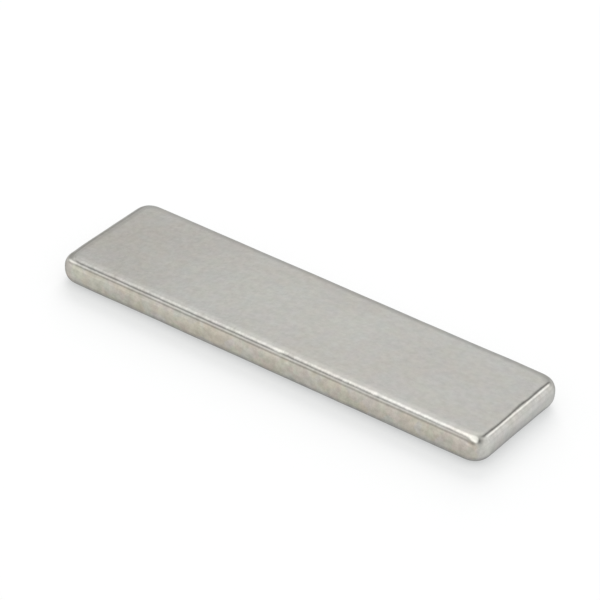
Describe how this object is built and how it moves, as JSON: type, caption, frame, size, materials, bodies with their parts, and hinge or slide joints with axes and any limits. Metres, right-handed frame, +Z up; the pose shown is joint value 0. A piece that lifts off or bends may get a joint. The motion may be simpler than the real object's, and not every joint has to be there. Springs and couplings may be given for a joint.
{
  "type": "block magnet",
  "caption": "Flat nickel-plated block magnet: a rectangular bar with tumbled rims and rounded corners, magnetised through its thickness.",
  "frame": {"origin": "centre of the underside, on the surface that the block lies on", "axes": "+X along the length, +Y along the width, +Z up through the thickness, which is also the magnetic axis"},
  "size_m": [0.05, 0.015, 0.003],
  "materials": {
    "nickel_plate": "satin nickel plate, burnished brighter along the rims"
  },
  "bodies": {
    "root": {"block_magnet": "nickel_plate"}
  },
  "joints": []
}
